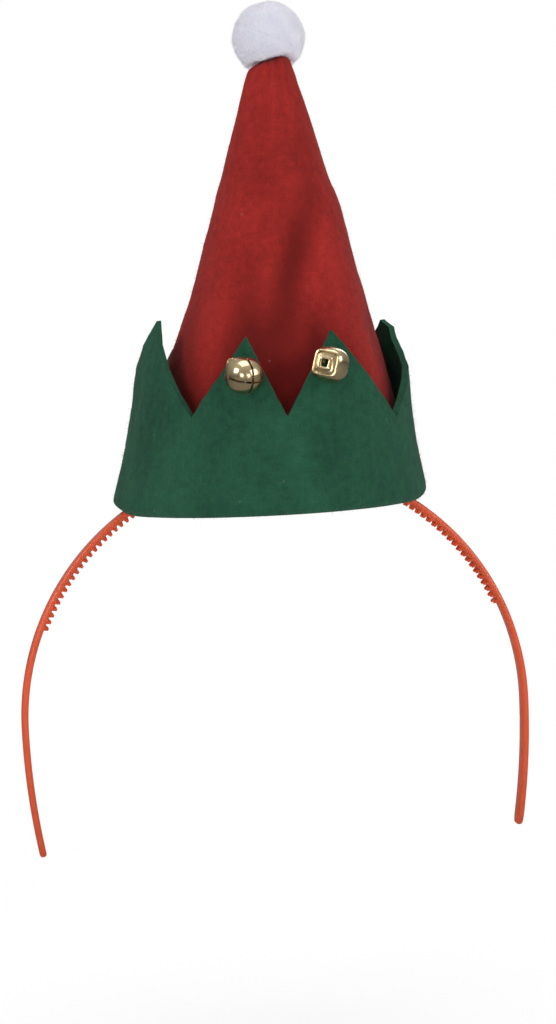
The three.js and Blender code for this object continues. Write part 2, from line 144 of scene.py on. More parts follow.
class FeltSettings(PropertyGroup):
    """The cone and cuff of the hat"""

    red: colour("Red", "Colour of the cone's felt", (0.243, 0.0160, 0.0132))
    green: colour("Green", "Colour of the cuff's felt", (0.0140, 0.064, 0.036))
    unevenness: length("Unevenness", "How far the cloth's surface wanders", 0.00022)
    wander: length("Wander", "Distance between the surface's rises and dips", 0.011)
    raggedness: length("Raggedness", "How far a cut edge wanders from its line", 0.00035)
    ragged_from: length("Ragged from", "Height from which cut edges are fully ragged", 0.012)
    ragged_size: length("Ragged size", "Distance between a cut edge's rises", 0.0035)
    # Painted shade on the cone: in folds by their depth, and a painted shadow beside the cuff's
    # teeth
    fold_shade_depth: length("Hollow depth", "Depth at which a fold's tone is deepest", 0.0022)
    shadow_reach: length("Tuck reach", "How far the deeper tone beside the cuff spreads", 0.0052)
    shadow_tone: factor("Tuck tone", "How deep the cone's tone is beside the cuff", 0.9)
    pucker: length("Pucker", "Depth of the gathers below the pompom", 0.00025)
    fuzz_length: length("Fuzz length", "Length of a loose fibre", 0.0013)
    fuzz_thickness: length("Fuzz thickness", "Thickness of a loose fibre at its root", 0.00005)
    fuzz_density: share("Fuzz density", "Loose fibres to a square metre", 4.2e5)
    fuzz_lean: share("Fuzz lean", "How far loose fibres lean from the surface's normal", 2.2)
    fuzz_bend: share("Fuzz bend", "How far a loose fibre's end bends over", 0.35)
    stitch_length: length("Stitch length", "Length of a stitch of the back seams", 0.0030)
    stitch_pitch: length("Stitch pitch", "Distance from stitch to stitch", 0.0046)
    stitch_thickness: length("Stitch thickness", "Thickness of the sewing thread", 0.00042)


class BellSettings(PropertyGroup):
    """The two jingle bells and the thread that holds them"""

    plating: colour("Plating", "Colour of the plated shell", (0.74, 0.58, 0.34))
    pellet: colour("Pellet", "Colour of the pellets' steel", (0.5, 0.5, 0.49))
    thread: colour("Thread", "Colour of the thread", (0.016, 0.075, 0.042))
    radius: length("Radius", "Radius of the shell", 0.005)
    wall: length("Wall", "Thickness of the shell", 0.0005)
    slot_width: length("Slot width", "Width of the crossed slots", 0.0006)
    slot_start: length("Slot start", "Height of the slots' ends above the shell's middle", 0.0004)
    base_squareness: share("Base squareness", "Power of the base's outline; 2 is round", 3.2)
    rim_width: length("Rim width", "Width of the raised square round the shank", 0.0070)
    rim_wire: length("Rim wire", "Thickness of that raised square", 0.0006)
    shank_width: length("Shank width", "Outer width of the square shank", 0.0040)
    shank_hole: length("Shank hole", "Width of the hole in the shank", 0.0017)
    shank_height: length("Shank height", "How far the shank stands out of the shell", 0.0009)
    thread_thickness: length("Thread thickness", "Thickness of the thread", 0.0003)


class PompomSettings(PropertyGroup):
    """The yarn pompom on the tip"""

    yarn: colour("Yarn", "Colour of the yarn's ends", (0.735, 0.73, 0.80))
    # Painted shade: the yarn's colour deep in the pile, darker than its ends
    root: colour("Root", "Colour of the yarn deep in the pile", (0.685, 0.68, 0.76))
    fullness: length("Fullness", "How far the core swells past its smoothed solid", 0.0005)
    pile: length("Pile", "Depth of the pile", 0.0008)
    strand: length("Strand", "Thickness of a strand at its root", 0.00009)
    density: share("Density", "Strands to a square metre", 1.35e7)
    lean: share("Lean", "How far strands lean from the surface's normal", 3.0)
    bend: share("Bend", "How far a strand's end bends over", 0.25)


class StageSettings(PropertyGroup):
    """The camera, the floor and the light"""

    azimuth: turn("Azimuth", "Turn of the camera from the front", -6.6)
    elevation: turn("Elevation", "Height of the camera as an angle", 4.4)
    roll: turn("Roll", "Lean of the camera", 2.8)
    distance: length("Distance", "Distance of the camera from its target", 0.9)
    target: place("Target", "Point in the middle of the picture", (0.0032, 0, -0.0122))
    lens: FloatProperty(
        name="Lens", description="Focal length in millimetres", default=110.9, unit="CAMERA"
    )
    floor_drop: length("Floor drop", "How far the floor lies below the band's ends", 0.06)
    floor_size: length("Floor size", "Radius of the floor", 6.0)
    floor_fade: length("Floor fade", "Distance at which the floor has gone white", 0.6)
    ambient: share("Ambient", "Strength of the light from all sides", 0.30)


# Node trees
class Value:
    """An output socket that takes part in Python sums: each sum adds a Math node."""

    def __init__(self, graph, socket):
        self.graph = graph
        self.socket = socket

    def of(self, output):
        """Another output of the same node."""
        return Value(self.graph, self.socket.node.outputs[output])

    def __add__(self, other):
        return self.graph.sum("ADD", self, other)

    def __sub__(self, other):
        return self.graph.sum("SUBTRACT", self, other)

    def __rsub__(self, other):
        return self.graph.sum("SUBTRACT", other, self)

    def __mul__(self, other):
        return self.graph.sum("MULTIPLY", self, other)

    def __truediv__(self, other):
        return self.graph.sum("DIVIDE", self, other)

    def __rtruediv__(self, other):
        return self.graph.sum("DIVIDE", other, self)

    def __pow__(self, other):
        return self.graph.sum("POWER", self, other)

    __radd__ = __add__
    __rmul__ = __mul__


class Graph:
    """Adds nodes to one node tree and links them."""

    def __init__(self, tree):
        self.tree = tree

    def node(self, kind, settings=None, inputs=None, output=0):
        made = self.tree.nodes.new(kind)
        for name, value in (settings or {}).items():
            setattr(made, name, value)
        for key, value in (inputs or {}).items():
            for one in value if isinstance(value, list) else [value]:
                self.feed(made.inputs[key], one)
        return Value(self, made.outputs[output]) if len(made.outputs) else None

    def feed(self, socket, value):
        if isinstance(value, Value):
            self.tree.links.new(value.socket, socket)
        else:
            socket.default_value = value

    def sum(self, operation, one, other):
        return self.node("ShaderNodeMath", {"operation": operation}, {0: one, 1: other})

    def vector(self, operation, one, other):
        second = "Scale" if operation == "SCALE" else 1
        return self.node("ShaderNodeVectorMath", {"operation": operation}, {0: one, second: other})

    def mix(self, factor, one, other):
        return self.node("ShaderNodeMix", {"data_type": "RGBA"}, {0: factor, 6: one, 7: other}, 2)

    def spread(self, value, low, high, to_low=0.0, to_high=1.0):
        """A value's range stretched to another, and held within it."""
        ends = {"From Min": low, "From Max": high, "To Min": to_low, "To Max": to_high}
        return self.node("ShaderNodeMapRange", None, {"Value": value, **ends})

    def where(self):
        """A place on the object, in metres."""
        return self.node("ShaderNodeTexCoord", output="Object")

    def relief(self, height, strength, distance):
        """A normal that follows low relief."""
        shape = {"Strength": strength, "Distance": distance, "Height": height}
        return self.node("ShaderNodeBump", None, shape)

    def noise(self, where, size, detail=2.0, distortion=0.0):
        """Noise whose rises and dips are about one size apart, in metres."""
        look = {"Vector": where, "Scale": 1 / size, "Detail": detail, "Distortion": distortion}
        return self.node("ShaderNodeTexNoise", None, look)


def opaque(rgb):
    return (*rgb, 1.0)


def shaded(rgb, by):
    """A colour made lighter or darker."""
    return tuple(min(1.0, part * by) for part in rgb)


def new_look(name, constants):
    """A material with its even values set, its graph and its shader."""
    made = bpy.data.materials.new(name)
    made.use_nodes = True
    shader = made.node_tree.nodes["Principled BSDF"]
    for socket, value in constants.items():
        shader.inputs[socket].default_value = value
    return made, Graph(made.node_tree), shader


def painted(graph, shader, **values):
    """Links what changes over the surface to the shader."""
    for name, value in values.items():
        graph.feed(shader.inputs[name.replace("_", " ").title()], value)


# Looks
# Distances between felt's clouds of tone and between its mottles, and its specks along a metre
CLOUD, MOTTLE, SPECKS = 0.011, 0.0022, 110.0
# Two mats of fibre cross in felt: the lean of each and its grains along a metre
MATS = ((0.5, (260, 2300, 2300)), (-0.7, (2100, 2100, 280)))
# Felt's darkest and lightest tones, and its painted shade in folds and beside the cuff, as shares
# of its colour
FELT_DARK, FELT_LIGHT, FELT_SHADE_TONE = 0.68, 1.34, 0.40
# Plastic deepens over this height above the arms' ends, to this share of its colour
END_REACH, END_TONE = 0.04, 0.78


def felt_look(name, main):
    """Pressed felt: clouds of tone, crossed fibres, pale specks, and painted shade in folds with a
    painted shadow beside the cuff's teeth.
    """
    even = {"Sheen Weight": 0.03, "Sheen Roughness": 0.6, "Specular IOR Level": 0.05}
    made, graph, shader = new_look(name, even)
    where = graph.where()
    upward = graph.node("ShaderNodeMapping", None, {"Vector": where, "Scale": (1, 1, 0.35)})
    clouds = graph.noise(upward, CLOUD, 3.0)
    mottle = graph.noise(where, MOTTLE, 2.0)
    mats = []
    for lean, stretch in MATS:
        turned = {"Vector": where, "Rotation": (lean, lean, 0), "Scale": stretch}
        mats.append(graph.noise(graph.node("ShaderNodeMapping", None, turned), 1.0, 2.0, 1.0))
    matted = graph.sum("MAXIMUM", *mats)
    specks = graph.node("ShaderNodeTexVoronoi", None, {"Vector": where, "Scale": SPECKS})
    lint = graph.spread(specks, 0.025, 0.06, 0.35, 0.0)
    tone = graph.spread(clouds * 0.45 + mottle * 0.3 + matted * 0.45, 0.45, 0.8)
    plain = graph.mix(tone, opaque(shaded(main, FELT_DARK)), opaque(shaded(main, FELT_LIGHT)))
    # Painted shade in folds and painted shadow beside the cuff's teeth, darkening the felt's
    # colour
    hollow = graph.node("ShaderNodeAttribute", {"attribute_name": "hollow"}, None, "Fac")
    shade_amount = graph.spread(hollow, 0.0, 0.9, 0.0, 0.85)
    cloth = graph.mix(shade_amount, plain, opaque(shaded(main, FELT_SHADE_TONE)))
    linted = graph.mix(lint, cloth, opaque(tuple(0.5 * part + 0.1 for part in main)))
    relief = graph.relief(matted * 0.7 + mottle * 0.5, 0.55, 0.00028)
    painted(graph, shader, base_color=linted, roughness=0.86 + 0.12 * mottle, normal=relief)
    return made


def fuzz_look(name, main):
    """Loose fibres of the felt, a little paler than the cloth."""
    made, graph, shader = new_look(name, {"Roughness": 0.9, "Specular IOR Level": 0.1})
    where = graph.where()
    tone = graph.spread(graph.noise(where, 0.004), 0.35, 0.65)
    painted(graph, shader, base_color=graph.mix(tone, opaque(main), opaque(shaded(main, 1.2))))
    return made


def plastic_look(name, main):
    """Translucent moulded plastic with a faint flow grain."""
    even = {
        "Transmission Weight": 0.25,
        "Specular IOR Level": 0.3,
        "IOR": 1.46,
        "Subsurface Weight": 0.35,
        "Subsurface Radius": (0.004, 0.0012, 0.0006),
        "Subsurface Scale": 1.0,
        "Coat Weight": 0.15,
        "Coat Roughness": 0.12,
    }
    made, graph, shader = new_look(name, even)
    where = graph.where()
    flow = graph.noise(where, 0.012, 3.0, 0.6)
    grain = graph.noise(where, 0.0009, 2.0)
    height = graph.node("ShaderNodeSeparateXYZ", None, {0: where}, "Z")
    end = CAD_BOX[0].z
    to_end = graph.spread(height, end, end + END_REACH, END_TONE, 1.0)
    body = graph.mix(flow, opaque(shaded(main, 0.86)), opaque(shaded(main, 1.08)))
    tint = graph.vector("SCALE", body, to_end)
    relief = graph.relief(grain, 0.12, 0.0001)
    painted(graph, shader, base_color=tint, roughness=0.24 + 0.14 * flow, normal=relief)
    return made


def metal_look(name, main, rough):
    """Plated metal with faint tarnish and fine handling marks."""
    made, graph, shader = new_look(name, {"Metallic": 1.0})
    where = graph.where()
    tarnish = graph.spread(graph.noise(where, 0.0035, 3.0), 0.4, 0.75)
    marks = graph.noise(where, 0.0004, 2.0)
    tint = graph.mix(tarnish, opaque(main), opaque(shaded(main, 0.72)))
    relief = graph.relief(marks, 0.06, 0.0001)
    polish = rough + 0.12 * tarnish + 0.05 * marks
    painted(graph, shader, base_color=tint, roughness=polish, normal=relief)
    return made


def yarn_look(name, centre, core_radius, radius, settings):
    """Soft yarn with painted shade that darkens it towards the roots of its pile."""
    even = {
        "Roughness": 0.95,
        "Specular IOR Level": 0.1,
        "Subsurface Weight": 0.9,
        "Subsurface Radius": (0.003, 0.003, 0.0032),
        "Subsurface Scale": 1.0,
    }
    made, graph, shader = new_look(name, even)
    where = graph.where()
    away = graph.node(
        "ShaderNodeVectorMath", {"operation": "DISTANCE"}, {0: where, 1: centre}, "Value"
    )
    # Painted shade: the colour darkens from the pile's ends to its roots
    depth = graph.spread(away, core_radius, radius)
    locks = graph.spread(graph.noise(where, 0.005), 0.3, 0.7, 0.88, 1.0)
    tint = graph.mix(depth * locks, opaque(settings.root), opaque(settings.yarn))
    painted(graph, shader, base_color=tint)
    return made


def thread_look(name, main):
    """Sewing thread with its twist."""
    made, graph, shader = new_look(name, {"Specular IOR Level": 0.3})
    where = graph.where()
    twist = graph.noise(where, 0.0004, 1.0)
    tint = graph.mix(twist, opaque(shaded(main, 0.7)), opaque(shaded(main, 1.3)))
    painted(graph, shader, base_color=tint, roughness=0.6 + 0.2 * twist)
    return made


# Meshes and pieces
def new_object(name, mesh, *looks):
    made = bpy.data.objects.new(name, mesh)
    bpy.context.scene.collection.objects.link(made)
    for look in looks:
        mesh.materials.append(look)
    return made


def to_mesh(name, work, sharp=None):
    """A finished mesh, smooth but for the edges that turn by more than an angle."""
    for face in work.faces:
        face.smooth = True
    made = bpy.data.meshes.new(name)
    work.to_mesh(made)
    work.free()
    if sharp is not None:
        made.set_sharp_from_angle(angle=sharp)
    return made


def dress(piece, slot, *nodes):
    """Ties a piece to the frame's root body and hides the solids it stands for; the slot for its
    finish is not used.
    """
    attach(piece, "root")
    if nodes:
        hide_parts(*nodes)
    return piece


def welded(node):
    """A copy of a solid's mesh with its loose triangles joined."""
    work = bmesh.new()
    work.from_mesh(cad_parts[node].data)
    bmesh.ops.remove_doubles(work, verts=work.verts, dist=WELD)
    return work


def relaxed(work, levels, rounds, cut_below=-1.0):
    """Divides a faceted mesh and smooths its facets away, except along cut edges lower down."""
    for edge in work.edges:
        low = max(corner.co.z for corner in edge.verts) < cut_below
        edge.smooth = not low or edge.calc_face_angle() < CUT_ANGLE
    for _ in range(levels):
        bmesh.ops.subdivide_edges(work, edges=work.edges, cuts=1, use_grid_fill=True)
    free = [v for v in work.verts if all(edge.smooth for edge in v.link_edges)]
    for _ in range(rounds):
        bmesh.ops.smooth_vert(
            work, verts=free, factor=0.5, use_axis_x=True, use_axis_y=True, use_axis_z=True
        )
    work.normal_update()
    return work


def swept(rings, closed):
    """A mesh through rings of points: a closed loop, or a rod with its ends filled."""
    work = bmesh.new()
    corners = [[work.verts.new(point) for point in ring] for ring in rings]
    count = len(rings[0])
    for near, far in zip(corners, corners[1:] + corners[:1] if closed else corners[1:]):
        for i in range(count):
            j = (i + 1) % count
            work.faces.new((near[i], near[j], far[j], far[i]))
    if not closed:
        work.faces.new(corners[0][::-1])
        work.faces.new(corners[-1])
    bmesh.ops.recalc_face_normals(work, faces=work.faces)
    return work


def rod(points, radius, sides=8):
    """A round rod along points."""
    line = [Vector(point) for point in points]
    rings = []
    side = Vector((0.3, 0.5, 0.8))
    for i, point in enumerate(line):
        along = (line[min(i + 1, len(line) - 1)] - line[max(i - 1, 0)]).normalized()
        side = (side - along * side.dot(along)).normalized()
        other = along.cross(side)
        turns = [2 * math.pi * k / sides for k in range(sides)]
        rings.append([point + radius * (side * math.cos(t) + other * math.sin(t)) for t in turns])
    return swept(rings, False)


def joined(parts):
    """Several meshes in one, each kept as its own shell."""
    whole = bmesh.new()
    for part in parts:
        mesh = bpy.data.meshes.new("part")
        part.to_mesh(mesh)
        part.free()
        whole.from_mesh(mesh)
        bpy.data.meshes.remove(mesh)
    return whole


def superround(angle, power):
    """The distance of a superellipse's outline from its middle, at an angle."""
    return (abs(math.cos(angle)) ** power + abs(math.sin(angle)) ** power) ** (-1 / power)


# Geometry Nodes
def node_group(name, numbers):
    """A new tree with a geometry, named numbers and a material as its inputs."""
    tree = bpy.data.node_groups.new(name, "GeometryNodeTree")
    tree.interface.new_socket("Geometry", in_out="INPUT", socket_type="NodeSocketGeometry")
    for label in numbers:
        tree.interface.new_socket(label, in_out="INPUT", socket_type="NodeSocketFloat")
    tree.interface.new_socket("Look", in_out="INPUT", socket_type="NodeSocketMaterial")
    tree.interface.new_socket("Geometry", in_out="OUTPUT", socket_type="NodeSocketGeometry")
    graph = Graph(tree)
    return graph, graph.node("NodeGroupInput")


def close_group(graph, geometry, look):
    real = graph.node("GeometryNodeRealizeInstances", None, {"Geometry": geometry})
    dressed = graph.node("GeometryNodeSetMaterial", None, {"Geometry": real, "Material": look})
    graph.node("NodeGroupOutput", None, {"Geometry": dressed})
    return graph.tree


def grown(name, base, kind, make_tree, look, values):
    """The plain mesh that a kind of node tree makes from an object's, as a new object."""
    tree = bpy.data.node_groups.get(kind) or make_tree(kind)
    modifier = base.modifiers.new(kind, "NODES")
    modifier.node_group = tree
    wanted = {**values, "Look": look}
    for socket in tree.interface.items_tree:
        if socket.in_out == "INPUT" and socket.name in wanted:
            modifier[socket.identifier] = wanted[socket.name]
    depsgraph = bpy.context.evaluated_depsgraph_get()
    mesh = bpy.data.meshes.new_from_object(base.evaluated_get(depsgraph))
    mesh.name = name
    base.modifiers.remove(modifier)
    return new_object(name, mesh)


def fibre_tree(name):
    """Tapered fibres that stand on a surface, as dense as its own pile attribute says."""
    graph, given = node_group(name, ("Density", "Length", "Thickness", "Lean", "Bend", "Seed"))
    seed = given.of("Seed")
    size = given.of("Length")
    pile = graph.node("GeometryNodeInputNamedAttribute", {"data_type": "FLOAT"}, {"Name": "pile"})
    spots = graph.node(
        "GeometryNodeDistributePointsOnFaces",
        None,
        {"Mesh": given, "Density": given.of("Density") * pile, "Seed": seed},
    )
    strand = graph.node(
        "GeometryNodeMeshCone",
        {"fill_type": "NGON"},
        {
            "Vertices": 3,
            "Side Segments": 2,
            "Radius Top": 0.0,
            "Radius Bottom": given.of("Thickness") / 2,
            "Depth": size,
        },
    )
    here = graph.node("GeometryNodeInputPosition")
    rise = graph.node("ShaderNodeSeparateXYZ", None, {0: here}, "Z") / size
    aside = graph.node("ShaderNodeCombineXYZ", None, {"X": given.of("Bend") * size * rise**2})
    bent = graph.node("GeometryNodeSetPosition", None, {"Geometry": strand, "Offset": aside})
    soft = graph.node("GeometryNodeSetShadeSmooth", None, {"Geometry": bent})
    any_way = graph.node(
        "FunctionNodeRandomValue",
        {"data_type": "FLOAT_VECTOR"},
        {0: (-1, -1, -1), 1: (1, 1, 1), "Seed": seed},
    )
    sway = graph.vector("SCALE", any_way, given.of("Lean"))
    upright = graph.node(
        "FunctionNodeAlignRotationToVector",
        {"axis": "Z"},
        {"Vector": graph.vector("ADD", spots.of("Normal"), sway)},
    )
    spin = random_number(graph, 0, 2 * math.pi, seed + 1)
    turned = graph.node(
        "FunctionNodeEulerToRotation",
        None,
        {0: graph.node("ShaderNodeCombineXYZ", None, {"Z": spin})},
    )
    laid = graph.node(
        "FunctionNodeRotateRotation",
        {"rotation_space": "LOCAL"},
        {"Rotation": upright, "Rotate By": turned},
    )
    fibres = graph.node(
        "GeometryNodeInstanceOnPoints",
        None,
        {
            "Points": spots,
            "Instance": soft,
            "Rotation": laid,
            "Scale": random_number(graph, 0.65, 1.15, seed + 2),
        },
    )
    return close_group(graph, fibres, given.of("Look"))


def random_number(graph, low, high, seed):
    return graph.node(
        "FunctionNodeRandomValue",
        {"data_type": "FLOAT"},
        {2: low, 3: high, "Seed": seed},
        1,
    )


def stitch_tree(name):
    """Running stitches along a line of edges."""
    graph, given = node_group(name, ("Pitch", "Length", "Thickness"))
    line = graph.node("GeometryNodeMeshToCurve", None, {"Mesh": given})
    spots = graph.node(
        "GeometryNodeCurveToPoints",
        {"mode": "LENGTH"},
        {"Curve": line, "Length": given.of("Pitch")},
    )
    stitch = graph.node(
        "GeometryNodeMeshUVSphere", None, {"Segments": 8, "Rings": 6, "Radius": 0.5}
    )
    soft = graph.node("GeometryNodeSetShadeSmooth", None, {"Geometry": stitch})
    thick = given.of("Thickness")
    size = graph.node(
        "ShaderNodeCombineXYZ", None, {"X": thick, "Y": thick, "Z": given.of("Length")}
    )
    row = graph.node(
        "GeometryNodeInstanceOnPoints",
        None,
        {"Points": spots, "Instance": soft, "Rotation": spots.of("Rotation"), "Scale": size},
    )
    return close_group(graph, row, given.of("Look"))


def comb_tree(name):
    """Two rows of teeth, side by side, moulded in one with the inner face of a band."""
    graph, given = node_group(
        name,
        ("Radius", "Middle", "Reach", "Pitch", "Height", "Width", "Tip", "Root", "Row Offset"),
    )
    root = given.of("Radius") + given.of("Root")
    tooth = graph.node(
        "GeometryNodeMeshCone",
        None,
        {
            "Vertices": 8,
            "Side Segments": 3,
            "Radius Top": given.of("Width") * given.of("Tip") / 2,
            "Radius Bottom": given.of("Width") / 2,
            "Depth": given.of("Height") + given.of("Root"),
        },
    )
    row = 2 * given.of("Reach") * given.of("Radius")
    count = graph.sum("ROUND", row / given.of("Pitch"), 0.0)
    first = given.of("Reach") * (1 - 1 / count)
    arc = graph.node(
        "GeometryNodeCurveArc",
        {"mode": "RADIUS"},
        {
            "Resolution": 400,
            "Radius": root,
            "Start Angle": math.pi / 2 - first,
            "Sweep Angle": 2 * first,
        },
    )
    spots = graph.node(
        "GeometryNodeCurveToPoints", {"mode": "COUNT"}, {"Curve": arc, "Count": count}
    )
    inward = graph.vector("SCALE", graph.node("GeometryNodeInputPosition"), -1.0)
    facing = graph.node("FunctionNodeAlignRotationToVector", {"axis": "Z"}, {"Vector": inward})
    teeth = graph.node(
        "GeometryNodeInstanceOnPoints",
        None,
        {"Points": spots, "Instance": tooth, "Rotation": facing},
    )
    rows = []
    for side in (-1, 1):
        middle = graph.node(
            "ShaderNodeCombineXYZ",
            None,
            {"Y": side * given.of("Row Offset"), "Z": given.of("Middle")},
        )
        rows.append(
            graph.node(
                "GeometryNodeTransform",
                None,
                {"Geometry": teeth, "Translation": middle, "Rotation": (math.pi / 2, 0, 0)},
            )
        )
    both = graph.node("GeometryNodeJoinGeometry", None, {"Geometry": rows})
    real = graph.node("GeometryNodeRealizeInstances", None, {"Geometry": both})
    whole = graph.node(
        "GeometryNodeMeshBoolean", {"operation": "UNION"}, {"Mesh 2": [given, real]}
    )
    return close_group(graph, whole, given.of("Look"))


# Headband
# Rings of points along the band's round ends, arms and arch, and points in a ring
END_RINGS, ARM_RINGS, ARCH_RINGS, RING_POINTS = 10, 24, 180, 28
# The moulding is smooth but for edges that turn by more than this
MOULD_ANGLE = math.radians(38)


def band_shape(settings):
    """The band without its teeth: a round arch, arms that bend in, and round ends."""
    low, high = BOXES["headband"]
    arch, half_width = high.x, high.y
    middle = high.z - arch
    arm = middle - low.z
    end = math.pi / 2 + math.asin(arm / settings.arm_radius)
    section = [2 * math.pi * (i + 0.5) / RING_POINTS for i in range(RING_POINTS)]

    def opened(to_end, size):
        """The share of its full size that the band has at a distance from its round end."""
        left = 1 - min(1.0, max(0.0, to_end / size))
        return settings.tip_blunt + (1 - settings.tip_blunt) * math.sqrt(1 - left * left)

    def ring(at):
        on_arm = abs(at) > math.pi / 2
        bend = settings.arm_radius if on_arm else arch
        across = (arch - bend) * math.copysign(1, at)
        to_end = (end - abs(at)) * settings.arm_radius if on_arm else half_width
        wide = half_width * opened(to_end, half_width)
        deep = settings.thickness / 2
        thick = deep * opened(to_end, deep)
        points = []
        for angle in section:
            out = superround(angle, settings.roundness)
            y = wide * out * math.cos(angle)
            radius = bend - deep + thick * out * math.sin(angle)
            points.append((across + radius * math.sin(at), y, middle + radius * math.cos(at)))
        return points

    from_end = [1 - math.cos(i * math.pi / (2 * END_RINGS)) for i in range(END_RINGS)]
    rounded = [end - half_width * part / settings.arm_radius for part in from_end]
    start = rounded[-1]
    steps = range(1, ARM_RINGS + 1)
    arms = rounded + [start + (math.pi / 2 - start) * i / ARM_RINGS for i in steps]
    arches = [math.pi / 2 * (1 - 2 * i / ARCH_RINGS) for i in range(1, ARCH_RINGS)]
    turns = arms + arches + [-at for at in reversed(arms)]
    return swept([ring(at) for at in turns], False), arch, middle


class ELF_OT_headband(Operator):
    """Make the moulded headband with its comb"""

    bl_idname = "elf.headband"
    bl_label = "Headband"

    def execute(self, context):
        settings = context.scene.elf_band
        look = plastic_look("orange_plastic", settings.plastic)
        work, arch, middle = band_shape(settings)
        bare = new_object("bare_band", to_mesh("bare_band", work))
        values = {
            "Radius": arch - settings.thickness,
            "Middle": middle,
            "Reach": settings.reach,
            "Pitch": settings.pitch,
            "Height": settings.tooth_height,
            "Width": settings.tooth_width,
            "Tip": settings.tooth_tip,
            "Root": settings.thickness / 4,
            "Row Offset": settings.row_offset,
        }
        piece = grown("band", bare, "comb", comb_tree, look, values)
        bpy.data.objects.remove(bare)
        piece.data.shade_smooth()
        piece.data.set_sharp_from_angle(angle=MOULD_ANGLE)
        dress(piece, "orange_plastic", "headband")
        return {"FINISHED"}


# Felt hat
# Finer rises lie on the felt's own: how many times finer, and their share of the height
FINER, FINER_SHARE = 3.1, 0.4
# Rounds of smoothing that take the facets out of felt
FELT_ROUNDS = 14
# Felt that faces outward by more than this has its full pile, and the rest a share of it
PILE_FACING, INNER_PILE = 0.1, 0.15
# Points that face outward by more than this can take painted shade in folds and painted shadow
# beside the cuff
SHADE_FACING = 0.3
# Powers of height in the smooth cone that the painted shade in folds is measured from
CONE_POWERS = range(4)
# Height above the cuff's hem at which its wall is found
WALL_LEVEL = 0.02
# Depth of the groove along a back seam, and half its width as an angle
GROOVE_DEPTH, GROOVE_WIDTH = 0.0003, math.radians(4)
# Stitches lie out of the felt by this share of their thickness
STITCH_LIFT = 0.2
# Seams are laid on the felt from this far outside it
SEAM_FROM = 0.1
# Gathers below the pompom: how far down they reach, their number and how they drift
GATHER_REACH, GATHERS, DRIFT, DRIFTS = 0.035, 9, 0.8, 3
# Ends of the back stitches, above the hem and below the tip, and points between them
CONE_STITCHES = (0.022, 0.006, 60)
# Ends of the cuff's back stitches above its hem, and points between them
CUFF_STITCHES = (0.0035, 0.024, 14)


def hat_axis(z):
    """The middle of the hat at a height."""
    part = (z - HEM.z) / (TIP.z - HEM.z)
    return Vector((HEM.x + (TIP.x - HEM.x) * part, 0, z))


def round_hat(point):
    """A point's angle from the front and its direction away from the hat's middle."""
    out = point - hat_axis(point.z)
    return math.atan2(out.x, -out.y), out.normalized()


def wander(point, settings):
    """The cloth's own rises and dips."""
    coarse = noise.noise(point / settings.wander)
    fine = noise.noise(point / settings.wander * FINER)
    return settings.unevenness * (coarse + FINER_SHARE * fine)


def felt_piece(name, node, look, settings, extra, levels, cut_below):
    """A solid's felt with its facets smoothed, its own relief and a pile to carry fuzz."""
    work = relaxed(welded(node), levels, FELT_ROUNDS, cut_below)
    pile = []
    for vertex in work.verts:
        angle, out = round_hat(vertex.co)
        facing = vertex.normal.dot(out)
        pile.append(1.0 if facing > PILE_FACING else INNER_PILE)
        lift = wander(vertex.co, settings) + extra(angle, vertex.co.z)
        cut = min(1.0, max(0.0, vertex.co.z / settings.ragged_from))
        ragged = cut * settings.raggedness * noise.noise(vertex.co / settings.ragged_size)
        vertex.co += out * lift + Vector((0, 0, ragged))
    piece = new_object(name, to_mesh(name, work), look)
    piece.data.attributes.new("pile", "FLOAT", "POINT").data.foreach_set("value", pile)
    return piece


def teeth_away(vertices, ways):
    """How far points of the cone are from the cuff's toothed edge, as seen from outside."""
    cuff = welded("cuff")
    tree = BVHTree.FromBMesh(cuff)
    cuff.free()
    level = BOXES["cuff"][0].z + WALL_LEVEL
    away = []
    for vertex, way in zip(vertices, ways):
        wall = tree.ray_cast(hat_axis(level), way)[3]
        away.append(tree.find_nearest(hat_axis(vertex.co.z) + way * wall)[3])
    return np.array(away)


def mark_shade_and_shadow(piece, settings):
    """Stores painted shade for each point: deeper where it lies under the best smooth cone, and a
    painted shadow beside the cuff.
    """
    vertices = piece.data.vertices
    turns, ways = zip(*(round_hat(vertex.co) for vertex in vertices))
    facing = [vertex.normal.dot(way) for vertex, way in zip(vertices, ways)]
    outside = np.array(facing) > SHADE_FACING
    reach = np.array([(vertex.co - hat_axis(vertex.co.z)).length for vertex in vertices])
    rise = np.array([(vertex.co.z - HEM.z) / (TIP.z - HEM.z) for vertex in vertices])
    sides = (np.ones_like(rise), np.sin(turns), np.cos(turns))
    terms = np.stack([side * rise**power for side in sides for power in CONE_POWERS], axis=1)
    smooth = terms @ np.linalg.lstsq(terms[outside], reach[outside], rcond=None)[0]
    # Painted shade in folds and painted shadow beside the cuff's teeth, summed and held at one
    shade_in_folds = np.maximum(0, (smooth - reach) / settings.fold_shade_depth)
    cuff_shadow = settings.shadow_tone * np.exp(-teeth_away(vertices, ways) / settings.shadow_reach)
    deep = np.where(outside, np.minimum(1, shade_in_folds + cuff_shadow), 0)
    piece.data.attributes.new("hollow", "FLOAT", "POINT").data.foreach_set("value", deep)


def add_fuzz(piece, look, slot, settings):
    values = {
        "Density": settings.fuzz_density,
        "Length": settings.fuzz_length,
        "Thickness": settings.fuzz_thickness,
        "Lean": settings.fuzz_lean,
        "Bend": settings.fuzz_bend,
        "Seed": float(FUZZ_SEED),
    }
    dress(grown(piece.name + "_fuzz", piece, "fibres", fibre_tree, look, values), slot)


